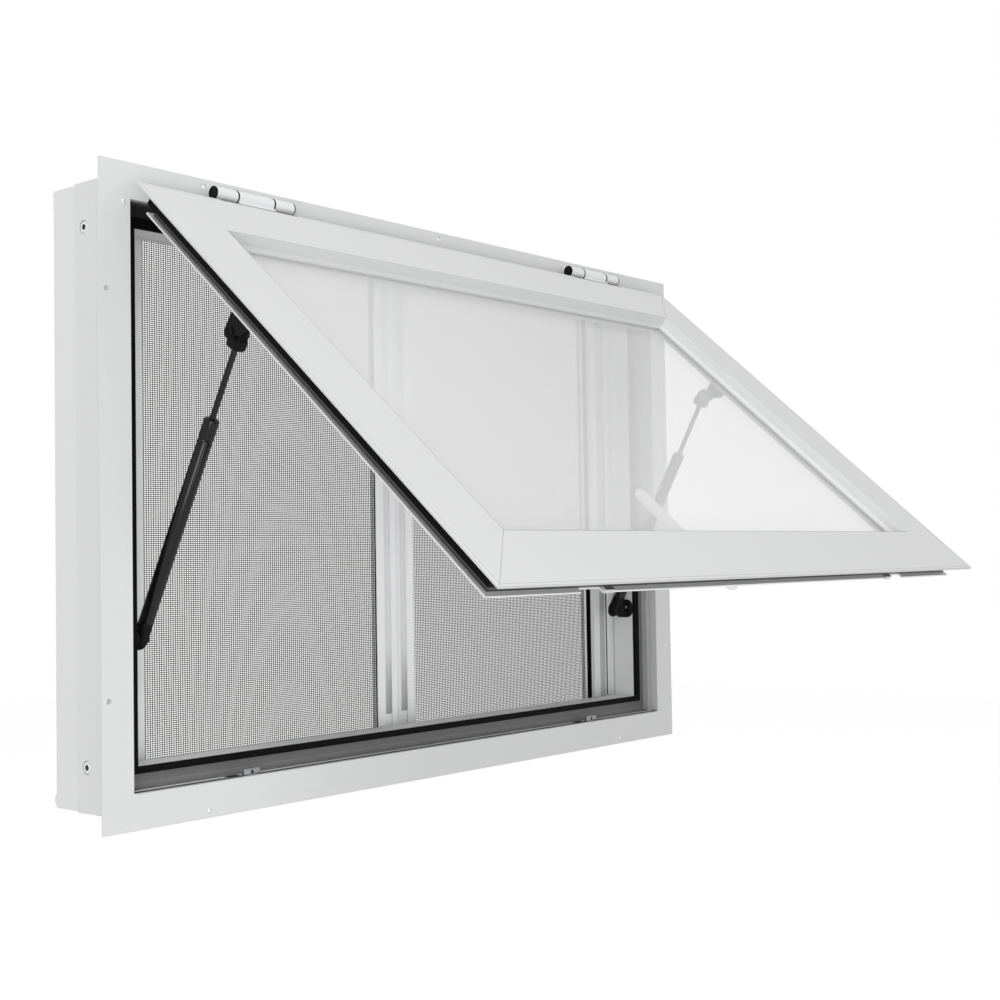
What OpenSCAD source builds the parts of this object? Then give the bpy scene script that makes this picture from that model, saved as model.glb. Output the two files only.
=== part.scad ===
// Concession window: a flanged aluminium frame with two insect screens and a top hung awning sash on two gas struts.
// X runs along the sill, Y runs inwards, away from the customer, and Z is up.
// The origin is on the back face of the fixing flange, in the middle of its lower strip.

/* [Frame] */
// Width over the fixing flange
flange_w = 960; // [860:1:1400]
// Height over the fixing flange
flange_h = 640; // [600:1:1000]
// Thickness of the fixing flange
flange_t = 2; // [1.5:0.1:3]
// Width of the flange outside the frame's body
strip_w = 15; // [12:0.5:25]
// Depth of the main frame behind the flange
body_d = 59; // [56:1:80]
// Thickness of the extrusion's box, between its outside and the opening
box_w = 20.5; // [16:0.5:30]
// How far the stop stands into the opening
stop_w = 21.5; // [19:0.5:28]
// Wall thickness of the extrusions
wall = 2; // [1.5:0.1:2.5]
// Width of the rubber gasket on the stop, at the head and the jambs
seal_w = 10.5; // [8:0.5:17]
// Width of the rubber gasket on the stop, at the sill
sill_seal_w = 7; // [6:0.5:17]
// Thickness of the rubber gasket on the stop
seal_t = 3; // [1:0.5:3]

/* [Fixing holes] */
// Radius of the fixing holes
hole_r = 2.5; // [1.5:0.1:3.5]
// Distance of the top and bottom strips' outer holes from the flange's ends
hole_end_x = 126; // [60:1:200]
// Distance of the side strips' holes from the flange's ends
hole_end_z = 125; // [60:1:200]
// Radius of the round holes in the sides of the jambs
side_hole_r = 6.5; // [5:0.5:8]
// Distance of the side holes from the main frame's rear
side_hole_rear = 15; // [12:1:20]
// Distance of the side holes from the flange's ends
side_hole_end = 59; // [50:1:120]

/* [Screens] */
// Depth of the rear frame that carries the screens
track_d = 36; // [33:1:50]
// How far the rear frame is set in from the main frame's outside
track_inset = 1; // [0:0.5:3]
// Height of the rear frame's head and sill
track_h = 28; // [24:1:36]
// Thickness of a screen's frame
screen_t = 9; // [7:0.5:9]
// Running clearance round a screen in its track
screen_gap = 0.3; // [0.2:0.1:0.5]
// Width of a screen's rails
screen_rail_w = 21; // [18:1:32]
// Width of the left screen's stile beside the jamb
left_stile_w = 44; // [25:1:45]
// Width of the right screen's stile beside the jamb
right_stile_w = 33; // [25:1:45]
// Width of the left screen's stile in the middle of the window
meeting_w = 33; // [28:1:45]
// Lap of the right screen's middle stile behind the left one
meeting_lap = 4; // [2:1:12]
// Thickness of the mesh sheet
mesh_t = 0.8; // [0.5:0.1:1.5]
// Number of openings in the mesh sheet, each way
mesh_cells = 12; // [4:1:12]
// Width of the bars between the openings
mesh_bar = 3; // [2:0.5:6]

/* [Sash] */
// Lap of the sash over the opening's sides
lap_side = 3.5; // [2:0.5:6]
// Lap of the sash over the opening's lower edge
lap_bottom = 6.5; // [4:0.5:9]
// Angle of the open sash from the closed one
open_angle = 48.8; // [40:0.1:52]
// Width of the sash's face
face_w = 67; // [60:1:80]
// Thickness of the sash's face lip
lip_t = 3; // [2:0.5:4]
// Thickness of the whole sash
sash_t = 25; // [24:0.5:28]
// How far the sash's rear rim is set in from its outer edge
rim_inset = 13.5; // [13.5:0.5:24]
// Thickness of the glass
glass_t = 4; // [3:0.5:4.5]
// Depth of the glass behind the sash's face
glass_depth = 17; // [14:0.5:17]
// Clearance between the closed sash and the gasket behind it
close_gap = 5; // [5:0.5:8]

/* [Hinges] */
// Distance of each hinge's middle from the flange's end
hinge_end = 184; // [120:1:300]
// Height of the hinge axis above the opening's upper edge
hinge_rise = 21.5; // [20:0.5:24]
// Distance from the flange's front to the hinge axis
hinge_out = 8; // [8:0.5:10]
// Distance from the hinge axis down to the sash's upper edge
hinge_drop = 13; // [12:0.5:14]
// Radius of the hinge barrel
barrel_r = 6.25; // [5:0.25:6.25]
// Radius of the hinge pin
pin_r = 3; // [2:0.5:3.5]
// Length of the middle knuckle
mid_knuckle = 48; // [30:1:80]
// Length of each outer knuckle
end_knuckle = 27; // [15:1:40]
// Gap between two knuckles, which holds a washer
knuckle_gap = 1; // [0.8:0.1:1.5]

/* [Gas struts] */
// Distance of each strut from the side of the stop
strut_side = 19; // [18:0.5:30]
// Depth of the lower pivot behind the flange
foot_y = 40; // [38:1:42]
// Distance of the lower pivot below the middle
foot_drop = 140; // [130:1:150]
// Distance of the upper pivot from the hinge axis, along the sash
top_along = 182.5; // [178:0.5:186]
// Distance of the upper pivot behind the sash's face
top_depth = 51.6; // [50:0.1:53]
// Radius of the cylinder
tube_r = 7.5; // [6:0.5:8]
// Length of the cylinder
tube_l = 212; // [180:1:214]
// Radius of the rod
rod_r = 3; // [2:0.5:4]
// Width of the end fittings
eye_w = 13; // [10:0.5:13]
// Radius of the end fittings
eye_r = 7.5; // [6:0.5:8]
// Radius of the studs
stud_r = 4; // [3:0.5:5]
// Width of a strut's bracket on the jamb
foot_w = 24; // [18:1:28]
// Height of a strut's bracket on the jamb
foot_h = 38; // [28:1:50]
// Length of a strut's bracket on the sash
bracket_h = 44; // [30:1:50]
// Width of a strut's bracket on the sash
bracket_w = 32; // [20:1:34]

/* [Handle, latches and keepers] */
// Length of the pull handle
handle_l = 158; // [100:1:180]
// Width of the pull handle
handle_w = 16; // [12:1:24]
// Width of the pull handle's base
handle_base_w = 34; // [20:1:40]
// Height of the pull handle's base
handle_base_h = 28; // [18:1:36]
// Thickness of the pull handle
handle_t = 10; // [6:1:12]
// Gap between the sash's rear and the pull handle
handle_gap = 21; // [15:1:24]
// Distance of each keeper's middle from the flange's end
keeper_end = 186; // [120:1:300]
// Width of a keeper
keeper_w = 21; // [15:1:30]
// Height of a keeper
keeper_h = 6.5; // [5:0.5:6.5]

/* [Hidden] */
$fn = 48;

run_gap = 0.05;                                  // radial clearance of a pin, rod or plug in its hole
cut = 1;                                         // overshoot of a cutting shape
part_gap = 0.1;                                  // gap between like pieces that share a node

// main frame
half_w = flange_w / 2;
half_h = flange_h / 2;
body_hw = half_w - strip_w;
body_hh = half_h - strip_w;
open_hw = body_hw - box_w;                       // half the opening at the rebate
open_hh = body_hh - box_w;
stop_hw = open_hw - stop_w;                      // half the clear space inside the stop
stop_hh = open_hh - stop_w;
section_w = strip_w + box_w + stop_w;
mid_z = half_h - strip_w / 2;                    // height of the window's middle above the origin
hole_x = half_w - hole_end_x;
hole_z = half_h - hole_end_z;
side_hole_y = body_d - side_hole_rear;
side_hole_z = half_h - side_hole_end;
hinge_x = half_w - hinge_end;
hinge_y = -flange_t - hinge_out;
hinge_z = open_hh + hinge_rise;
rebate_d = hinge_y + sash_t + close_gap + seal_t;
line_w = 1;                                      // fine grooves along the rebate's wall
line_d = 0.8;
line_at = [6, 10];

// rear frame and screens
track_hw = body_hw - track_inset;
track_hh = body_hh - track_inset;
track_rear = body_d + track_d;
track_in_hh = track_hh - track_h;
front_screen_y = body_d + 9;
rear_screen_y = front_screen_y + screen_t + 1.5;
groove_d = 14;
drain_w = 2;
screen_hh = track_in_hh + groove_d - 2;
mesh_hh = screen_hh - screen_rail_w;
screen_end = stop_hw - screen_gap;
filler_back = 3;                                 // the strip that closes the unused track ends behind the stile's edge
meet_edge = 8;                                   // left screen's edge beside the middle
meet_flat_w = 13;                                // flat beside the mesh, on a middle stile
meet_groove_w = 11;
meet_groove_d = 4;
rear_meeting_w = meeting_w + 13;
mesh_depth = 2.5;
sill_lip_r = 8;                                  // rounded lip along the sill's rear
sill_lip_out = 3;
fin_t = 2;                                       // ribs along the head's rear

// small parts of the frame
screw_head_r = 3.6;
keeper_x = half_w - keeper_end;
keeper_t = 2;
keeper_y = 2.5;
keeper_foot = 4.5;
keeper_hole = 4;

// sash
sash_hw = open_hw + lap_side;
sash_end = hinge_z + open_hh + lap_bottom;       // from the hinge axis to the sash's lower edge
sash_h = sash_end - hinge_drop;
sash_mid = hinge_drop + sash_h / 2;
rim_t = 2;
channel_inset = rim_inset + 5;
bevel = 4;                                       // slope in front of the glass
bevel_start = glass_depth - 5;
glass_clear = 0.1;
pocket_inset = face_w - 6;
glass_inset = pocket_inset + 1;
rear_stop_inset = face_w + 2;
seal_strip = 1.4;
gasket_t = 4;
gasket_side_t = 11;
gasket_inset_side = 9;
gasket_inset_end = 14;
handle_inset = face_w - 20;                      // middle of the handle's base from the sash's lower edge
handle_low = 2;                                  // bar's end below the middle of the base
base_t = 3;
latch_w = 14;
latch_depth = 4;
latch_out = 1;
notch_w = keeper_w + 10;                         // gap in the rim that passes over a keeper
latch_x = keeper_x - notch_w / 2 - latch_w / 2 - 1;

// hinges
leaf_t = 1.2;
washer_t = knuckle_gap - 0.2;
hinge_half = mid_knuckle / 2 + knuckle_gap + end_knuckle;
pin_head_r = barrel_r - 0.4;
pin_head_t = 1.2;
web_h = 6;

// struts, with the sash open
top_y = hinge_y + top_depth * cos(open_angle) - top_along * sin(open_angle);
top_z = hinge_z - top_depth * sin(open_angle) - top_along * cos(open_angle);
strut_x = stop_hw - strut_side;
strut_l = norm([top_y - foot_y, top_z + foot_drop]);
strut_tilt = atan2(foot_y - top_y, top_z + foot_drop);
closed_l = norm([hinge_y + top_depth - foot_y, hinge_z - top_along + foot_drop]);
stroke = strut_l - closed_l;
tube_from = 18;
tube_to = tube_from + tube_l;
neck_r = 4.5;
neck_l = 20;
bore_from = tube_from + 7;
rod_from = bore_from + stroke + 3;
plate_t = 2.5;
stud_in = 4;                                     // stud past the middle of the end fitting
collar_l = 3;                                    // collar at the foot of the lower stud
bracket_gap = 0.3;                               // between the upper stud and the rod's end fitting
wall_clear = 5;                                  // between the sash's bracket and the stop

// lifts what is drawn about the window's middle
module at_middle() {
    translate([0, 0, mid_z]) children();
}

// turns what is drawn below the hinge axis, with the sash closed, to the open pose
module on_sash() {
    at_middle() translate([0, hinge_y, hinge_z]) rotate([-open_angle, 0, 0]) children();
}

// side is -1 for left and 1 for right; children are drawn on the right
module to_side(side) {
    mirror([side < 0 ? 1 : 0, 0, 0]) children();
}

// wedge over one side of a rectangle with mitred corners, drawn as points of [x, z]
module wedge(points, from, to) {
    translate([0, to, 0]) rotate([90, 0, 0]) linear_extrude(to - from) polygon(points);
}

// carries a section of [inset, depth] along the upper side of a mitred rectangle
module upper_side(hw, hh, m, from, to) {
    intersection() {
        translate([-hw, 0, hh]) rotate([0, 90, 0]) linear_extrude(2 * hw) children();
        wedge([[-hw, hh], [hw, hh], [hw - m, hh - m], [m - hw, hh - m]], from, to);
    }
}

// carries the same section along the right side
module right_side(hw, hh, m, from, to) {
    intersection() {
        mirror([1, 0, 0]) translate([-hw, 0, -hh]) linear_extrude(2 * hh) children();
        wedge([[hw, -hh], [hw, hh], [hw - m, hh - m], [hw - m, m - hh]], from, to);
    }
}

// carries a section of [depth, height] along X
module along_x(half_l) {
    translate([-half_l, 0, 0]) rotate([90, 0, 90]) linear_extrude(2 * half_l) children();
}

// a round bar along X from x0 to x1
module bar_x(r, x0, x1) {
    translate([x0, 0, 0]) rotate([0, 90, 0]) cylinder(r = r, h = x1 - x0);
}

module frame_section() {
    difference() {
        polygon([
            [0, -flange_t], [strip_w + box_w, -flange_t], [strip_w + box_w, rebate_d],
            [section_w, rebate_d], [section_w, body_d], [strip_w, body_d], [strip_w, 0], [0, 0]
        ]);
        for (y = line_at) {
            translate([strip_w + box_w - line_d, y]) square([line_d + cut, line_w]);
        }
        translate([strip_w + wall, 0]) square([box_w - 2 * wall, rebate_d]);
        translate([strip_w + wall, rebate_d + wall])
            square([box_w + stop_w - 2 * wall, body_d - rebate_d - 2 * wall]);
    }
}

// fixing holes through the flange at points of [x, z]
module fixing_holes(points) {
    for (p = points) {
        translate([p[0], cut, p[1]]) rotate([90, 0, 0]) cylinder(r = hole_r, h = flange_t + 2 * cut);
    }
}

module frame_horizontal() {
    upper_side(half_w, half_h, section_w, -flange_t, body_d) frame_section();
}

module frame_head() {
    color("gainsboro") at_middle() difference() {
        frame_horizontal();
        fixing_holes([for (x = [-hole_x, 0, hole_x]) [x, mid_z]]);
    }
}

module frame_sill() {
    color("gainsboro") at_middle() difference() {
        mirror([0, 0, 1]) frame_horizontal();
        fixing_holes([for (x = [-hole_x, hole_x]) [x, -mid_z]]);
    }
}

module frame_jamb(side) {
    color("gainsboro") at_middle() to_side(side) difference() {
        right_side(half_w, half_h, section_w, -flange_t, body_d) frame_section();
        fixing_holes([for (z = [-hole_z, hole_z]) [half_w - strip_w / 2, z]]);
        for (z = [-side_hole_z, side_hole_z]) {
            translate([0, side_hole_y, z]) bar_x(side_hole_r, body_hw - wall - cut, body_hw + cut);
        }
    }
}

module frame_jamb_left() {
    frame_jamb(-1);
}

module frame_jamb_right() {
    frame_jamb(1);
}

module frame_gasket() {
    inner_w = stop_hw;
    inner_h = stop_hh;
    color("black") at_middle() translate([0, rebate_d - seal_t, 0]) {
        for (side = [-1, 1]) {
            to_side(side) translate([inner_w, 0, -inner_h - sill_seal_w])
                cube([seal_w, seal_t, 2 * inner_h + seal_w + sill_seal_w]);
        }
        translate([part_gap - inner_w, 0, inner_h]) cube([2 * (inner_w - part_gap), seal_t, seal_w]);
        translate([part_gap - inner_w, 0, -inner_h - sill_seal_w])
            cube([2 * (inner_w - part_gap), seal_t, sill_seal_w]);
    }
}

// grooves and hollow of the rear frame's head and sill, as [depth, height]; a slot joins the hollow to the front groove
module track_hollows() {
    for (y = [front_screen_y, rear_screen_y]) {
        translate([y - screen_gap, track_in_hh - cut]) square([screen_t + 2 * screen_gap, groove_d + cut]);
    }
    translate([body_d + wall, track_in_hh + groove_d + wall])
        square([track_d - 2 * wall, track_h - groove_d - 2 * wall]);
    translate([front_screen_y + screen_t / 2 - drain_w / 2, track_in_hh + groove_d - cut])
        square([drain_w, wall + 2 * cut]);
}

module track_head() {
    color("whitesmoke") at_middle() difference() {
        along_x(track_hw) {
            translate([body_d, track_in_hh]) square([track_d, track_h]);
            for (z = [track_hh - 5, track_hh - 17]) {
                translate([track_rear - cut, z]) square([fin_t + cut, fin_t]);
            }
        }
        along_x(track_hw - wall) track_hollows();
    }
}

module track_sill() {
    color("whitesmoke") at_middle() mirror([0, 0, 1]) difference() {
        along_x(track_hw) {
            translate([body_d, track_in_hh]) square([track_d, track_h]);
            translate([track_rear + sill_lip_out - sill_lip_r, track_hh - sill_lip_r]) circle(r = sill_lip_r);
        }
        along_x(track_hw - wall) track_hollows();
    }
}

// rear frame's jamb on the right; the filler stands between the depths from and to
module track_jamb(side, stile_w, from, to) {
    jamb_w = track_hw - stop_hw;
    filler_w = stile_w - filler_back;
    color("whitesmoke") at_middle() to_side(side) translate([0, 0, -track_in_hh])
        linear_extrude(2 * track_in_hh) difference() {
            union() {
                translate([stop_hw, body_d]) square([jamb_w, track_d]);
                translate([stop_hw - filler_w, from]) square([filler_w + cut, to - from]);
            }
            translate([stop_hw + wall, body_d + wall]) square([jamb_w - 2 * wall, track_d - 2 * wall]);
        }
}

module track_jamb_left() {
    track_jamb(-1, left_stile_w, front_screen_y + screen_t + screen_gap, track_rear);
}

module track_jamb_right() {
    track_jamb(1, right_stile_w, front_screen_y, rear_screen_y - screen_gap);
}

// frame of a screen on the right: its middle stile is meet_w wide and starts at x = meet
module screen_frame(side, meet, meet_w, stile_w, y) {
    mesh_from = meet + meet_w;
    mesh_end = screen_end - stile_w;
    color("white") at_middle() to_side(side) translate([0, y, 0]) {
        translate([mesh_end, 0, -screen_hh]) cube([stile_w, screen_t, 2 * screen_hh]);
        difference() {
            translate([meet, 0, -screen_hh]) cube([meet_w, screen_t, 2 * screen_hh]);
            translate([mesh_from - meet_flat_w - meet_groove_w, -cut, -mesh_hh])
                cube([meet_groove_w, meet_groove_d + cut, 2 * mesh_hh]);
        }
        for (z = [mesh_hh, -screen_hh]) {
            translate([mesh_from + part_gap, 0, z])
                cube([mesh_end - mesh_from - 2 * part_gap, screen_t, screen_rail_w]);
        }
    }
}

// sheet between a screen's stiles, with a plain grid of openings
module screen_mesh(side, mesh_from, stile_w, y) {
    mesh_w = screen_end - stile_w - mesh_from;
    cell_w = (mesh_w - mesh_bar) / mesh_cells;
    cell_h = (2 * mesh_hh - mesh_bar) / mesh_cells;
    color("lightgray") at_middle() to_side(side) translate([mesh_from, y + mesh_depth + mesh_t, -mesh_hh])
        rotate([90, 0, 0]) linear_extrude(mesh_t) difference() {
            square([mesh_w, 2 * mesh_hh]);
            for (i = [0 : mesh_cells - 1], j = [0 : mesh_cells - 1]) {
                translate([mesh_bar + i * cell_w, mesh_bar + j * cell_h])
                    square([cell_w - mesh_bar, cell_h - mesh_bar]);
            }
        }
}

module screen_frame_left() {
    screen_frame(-1, meet_edge, meeting_w, left_stile_w, front_screen_y);
}

module screen_frame_right() {
    screen_frame(1, -meet_edge - meeting_lap, rear_meeting_w, right_stile_w, rear_screen_y);
}

module screen_mesh_left() {
    screen_mesh(-1, meet_edge + meeting_w, left_stile_w, front_screen_y);
}

module screen_mesh_right() {
    screen_mesh(1, rear_meeting_w - meet_edge - meeting_lap, right_stile_w, rear_screen_y);
}

module side_screws() {
    color("silver") at_middle() for (side = [-1, 1], z = [-side_hole_z, side_hole_z]) {
        to_side(side) translate([0, side_hole_y, z]) {
            bar_x(side_hole_r - run_gap, body_hw - wall, body_hw - wall / 2);
            bar_x(screw_head_r, body_hw - wall, body_hw);
        }
    }
}

// keeper on the sill: a foot and an upright plate with a three-sided hole
module keepers() {
    color("silver") at_middle() for (side = [-1, 1]) {
        translate([side * keeper_x - keeper_w / 2, keeper_y, -open_hh]) {
            cube([keeper_w, keeper_foot, keeper_t]);
            difference() {
                cube([keeper_w, keeper_t, keeper_h]);
                translate([keeper_w / 2, keeper_t + cut, keeper_h / 2 + keeper_t / 2]) rotate([90, 90, 0])
                    cylinder(r = keeper_hole / 2, h = keeper_t + 2 * cut, $fn = 3);
            }
        }
    }
}

module at_hinge(side) {
    translate([side * hinge_x, 0, 0]) children();
}

// frame's leaf: a plate on the flange, two outer knuckles and a web under each
module hinge_leaf(side) {
    color("white") at_middle() translate([0, hinge_y, hinge_z]) at_hinge(side) difference() {
        union() {
            translate([-hinge_half, hinge_out - leaf_t, -barrel_r]) cube([2 * hinge_half, leaf_t, 2 * barrel_r]);
            for (x = [-hinge_half, hinge_half - end_knuckle]) {
                bar_x(barrel_r, x, x + end_knuckle);
                translate([x, pin_r + 1, -web_h / 2]) cube([end_knuckle, hinge_out - pin_r - 1, web_h]);
            }
        }
        bar_x(pin_r + run_gap, -hinge_half - cut, hinge_half + cut);
    }
}

module hinge_leaf_left() {
    hinge_leaf(-1);
}

module hinge_leaf_right() {
    hinge_leaf(1);
}

module hinge_pin(side) {
    color("black") at_middle() translate([0, hinge_y, hinge_z]) at_hinge(side) {
        bar_x(pin_r, -hinge_half, hinge_half);
        bar_x(pin_head_r, -hinge_half - pin_head_t, -hinge_half);
        bar_x(pin_head_r, hinge_half, hinge_half + pin_head_t);
    }
}

module hinge_pin_left() {
    hinge_pin(-1);
}

module hinge_pin_right() {
    hinge_pin(1);
}

module hinge_washers() {
    first = mid_knuckle / 2 + knuckle_gap - washer_t;
    color("black") at_middle() translate([0, hinge_y, hinge_z]) for (side = [-1, 1], end = [-1, 1]) {
        at_hinge(side) to_side(end) difference() {
            bar_x(barrel_r, first, first + washer_t);
            bar_x(pin_r + run_gap, first - cut, first + washer_t + cut);
        }
    }
}

// sash's leaf: the middle knuckle and a plate down to the sash's upper edge
module hinge_knuckle(side) {
    color("white") on_sash() at_hinge(side) difference() {
        union() {
            bar_x(barrel_r, -mid_knuckle / 2, mid_knuckle / 2);
            translate([-mid_knuckle / 2, 0, -hinge_drop]) cube([mid_knuckle, lip_t, hinge_drop - pin_r - 1]);
        }
        bar_x(pin_r + run_gap, -mid_knuckle / 2 - cut, mid_knuckle / 2 + cut);
    }
}

module hinge_knuckle_left() {
    hinge_knuckle(-1);
}

module hinge_knuckle_right() {
    hinge_knuckle(1);
}

// strut bracket on the jamb's stop, with the stud that the cylinder turns on
module strut_foot(side) {
    color("black") at_middle() to_side(side) translate([0, foot_y, -foot_drop]) {
        translate([stop_hw - plate_t, -foot_w / 2, -foot_h / 2]) cube([plate_t, foot_w, foot_h]);
        bar_x(stud_r + 2, stop_hw - plate_t - collar_l, stop_hw - plate_t);
        bar_x(stud_r, strut_x - stud_in, stop_hw - plate_t);
    }
}

module strut_foot_left() {
    strut_foot(-1);
}

module strut_foot_right() {
    strut_foot(1);
}

module sash_section() {
    difference() {
        polygon([
            [0, 0], [face_w, 0], [face_w, bevel_start], [face_w + bevel, glass_depth - glass_clear],
            [pocket_inset, glass_depth - glass_clear], [pocket_inset, glass_depth + glass_t + glass_clear],
            [rear_stop_inset, glass_depth + glass_t + glass_clear], [rear_stop_inset, sash_t],
            [rim_inset, sash_t], [rim_inset, sash_t - rim_t], [channel_inset, sash_t - rim_t],
            [channel_inset, lip_t], [0, lip_t]
        ]);
        translate([channel_inset + wall, lip_t])
            square([pocket_inset - channel_inset - 2 * wall, sash_t - lip_t - wall]);
    }
}

module sash_rail() {
    upper_side(sash_hw, sash_h / 2, face_w + bevel, 0, sash_t) sash_section();
}

module sash_top_rail() {
    color("gainsboro") on_sash() translate([0, 0, -sash_mid]) sash_rail();
}

// the lower rail's rim is notched where it swings over the keepers
module sash_bottom_rail() {
    color("gainsboro") on_sash() difference() {
        translate([0, 0, -sash_mid]) mirror([0, 0, 1]) sash_rail();
        for (side = [-1, 1]) {
            translate([side * keeper_x - notch_w / 2, sash_t - rim_t - cut, -sash_end])
                cube([notch_w, rim_t + 2 * cut, channel_inset]);
        }
    }
}

module sash_stile(side) {
    color("gainsboro") on_sash() translate([0, 0, -sash_mid]) to_side(side)
        right_side(sash_hw, sash_h / 2, face_w + bevel, 0, sash_t) sash_section();
}

module sash_stile_left() {
    sash_stile(-1);
}

module sash_stile_right() {
    sash_stile(1);
}

// a centred plate in the sash's plane, hw and hh being its half sizes
module sash_plate(hw, hh, from, to) {
    on_sash() translate([-hw, from, -sash_mid - hh]) cube([2 * hw, to - from, 2 * hh]);
}

module sash_glass() {
    color([0.8, 0.85, 0.85, 0.4])
        sash_plate(sash_hw - glass_inset, sash_h / 2 - glass_inset, glass_depth, glass_depth + glass_t);
}

// four strips round a rectangle, each strip w_side or w_end wide inwards of hw and hh and side_t or end_t deep
module four_strips(hw, hh, w_side, w_end, from, side_t, end_t) {
    for (side = [-1, 1]) {
        to_side(side) translate([hw - w_side, from, -hh]) cube([w_side, side_t, 2 * hh]);
    }
    for (z = [-hh, hh - w_end]) {
        translate([w_side - hw + part_gap, from, z]) cube([2 * (hw - w_side - part_gap), end_t, w_end]);
    }
}

module sash_gasket() {
    color("black") on_sash() translate([0, 0, -sash_mid])
        four_strips(sash_hw - gasket_inset_side, sash_h / 2 - gasket_inset_end,
            channel_inset - gasket_inset_side, channel_inset - gasket_inset_end, lip_t, gasket_side_t, gasket_t);
}

module glazing_seal() {
    inset = face_w + bevel;
    color("black") on_sash() translate([0, 0, -sash_mid])
        four_strips(sash_hw - inset, sash_h / 2 - inset, seal_strip, seal_strip,
            glass_depth - seal_strip, seal_strip, seal_strip);
}

// bracket on the sash's rear with the stud beside the rod's end fitting
module sash_bracket(side) {
    outer = stop_hw - wall_clear;
    color("black") on_sash() to_side(side) translate([0, 0, -top_along]) {
        translate([outer - bracket_w, sash_t, -bracket_h / 2]) cube([bracket_w, plate_t, bracket_h]);
        translate([outer - plate_t, 0, 0]) rotate([90, 0, 90]) linear_extrude(plate_t) union() {
            polygon([
                [sash_t, -bracket_h / 2], [sash_t, bracket_h / 2], [top_depth, eye_r], [top_depth, -eye_r]
            ]);
            translate([top_depth, 0]) circle(r = eye_r);
        }
        translate([0, top_depth, 0]) bar_x(stud_r, strut_x + eye_w / 2 + bracket_gap, outer - plate_t);
    }
}

module sash_bracket_left() {
    sash_bracket(-1);
}

module sash_bracket_right() {
    sash_bracket(1);
}

// pull handle: a base on the lower rail, a post and a bar with round ends
module pull_handle() {
    bar_y = sash_t + handle_gap;
    end_r = handle_w / 2;
    color("white") on_sash() translate([0, 0, handle_inset - sash_end]) {
        translate([-handle_base_w / 2, sash_t, -handle_base_h / 2])
            cube([handle_base_w, base_t, handle_base_h]);
        translate([0, bar_y, 0]) rotate([90, 0, 0]) cylinder(r = end_r - 1, h = handle_gap - base_t);
        translate([-end_r, bar_y, -handle_low]) cube([handle_w, handle_t, handle_l - handle_w]);
        for (z = [-handle_low, handle_l - handle_w - handle_low]) {
            translate([0, bar_y + handle_t, z]) rotate([90, 0, 0]) cylinder(r = end_r, h = handle_t);
        }
    }
}

module latch_tongues() {
    color("silver") on_sash() for (side = [-1, 1]) {
        translate([side * latch_x - latch_w / 2, sash_t - latch_depth, -sash_end]) {
            translate([0, 0, rim_inset - latch_out]) cube([latch_w, latch_depth, latch_out]);
            translate([0, 0, rim_inset]) cube([latch_w, latch_depth - rim_t, channel_inset - rim_inset]);
        }
    }
}

// draws a strut along Z from its lower pivot, on the right
module on_strut(side) {
    at_middle() to_side(side) translate([strut_x, foot_y, -foot_drop]) rotate([strut_tilt, 0, 0]) children();
}

module strut_cylinder(side) {
    color("black") on_strut(side) difference() {
        translate([0, 0, tube_from]) cylinder(r = tube_r, h = tube_l);
        translate([0, 0, bore_from]) cylinder(r = rod_r + run_gap, h = tube_to - bore_from + cut);
    }
}

module strut_cylinder_left() {
    strut_cylinder(-1);
}

module strut_cylinder_right() {
    strut_cylinder(1);
}

module strut_socket(side) {
    color("black") on_strut(side) difference() {
        union() {
            bar_x(eye_r, -eye_w / 2, eye_w / 2);
            cylinder(r = neck_r, h = tube_from);
        }
        bar_x(stud_r + run_gap, -stud_in - run_gap, eye_w / 2 + cut);
    }
}

module strut_socket_left() {
    strut_socket(-1);
}

module strut_socket_right() {
    strut_socket(1);
}

module strut_rod(side) {
    color("dimgray") on_strut(side) translate([0, 0, rod_from]) cylinder(r = rod_r, h = strut_l - neck_l - rod_from);
}

module strut_rod_left() {
    strut_rod(-1);
}

module strut_rod_right() {
    strut_rod(1);
}

module strut_end(side) {
    color("black") on_strut(side) translate([0, 0, strut_l]) {
        bar_x(eye_r, -eye_w / 2, eye_w / 2);
        translate([0, 0, -neck_l]) cylinder(r = neck_r, h = neck_l);
    }
}

module strut_end_left() {
    strut_end(-1);
}

module strut_end_right() {
    strut_end(1);
}

frame_head();
frame_sill();
frame_jamb_left();
frame_jamb_right();
frame_gasket();
track_head();
track_sill();
track_jamb_left();
track_jamb_right();
screen_frame_left();
screen_frame_right();
screen_mesh_left();
screen_mesh_right();
side_screws();
keepers();
hinge_leaf_left();
hinge_leaf_right();
hinge_pin_left();
hinge_pin_right();
hinge_washers();
strut_foot_left();
strut_foot_right();
sash_top_rail();
sash_bottom_rail();
sash_stile_left();
sash_stile_right();
sash_glass();
sash_gasket();
glazing_seal();
hinge_knuckle_left();
hinge_knuckle_right();
sash_bracket_left();
sash_bracket_right();
pull_handle();
latch_tongues();
strut_cylinder_left();
strut_cylinder_right();
strut_socket_left();
strut_socket_right();
strut_rod_left();
strut_rod_right();
strut_end_left();
strut_end_right();
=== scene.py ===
"""Looks of a concession window: a flanged frame, two insect screens and an awning sash on two gas struts."""

import math

import bmesh
import bpy
import numpy as np
from mathutils import Matrix, Vector


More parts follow.
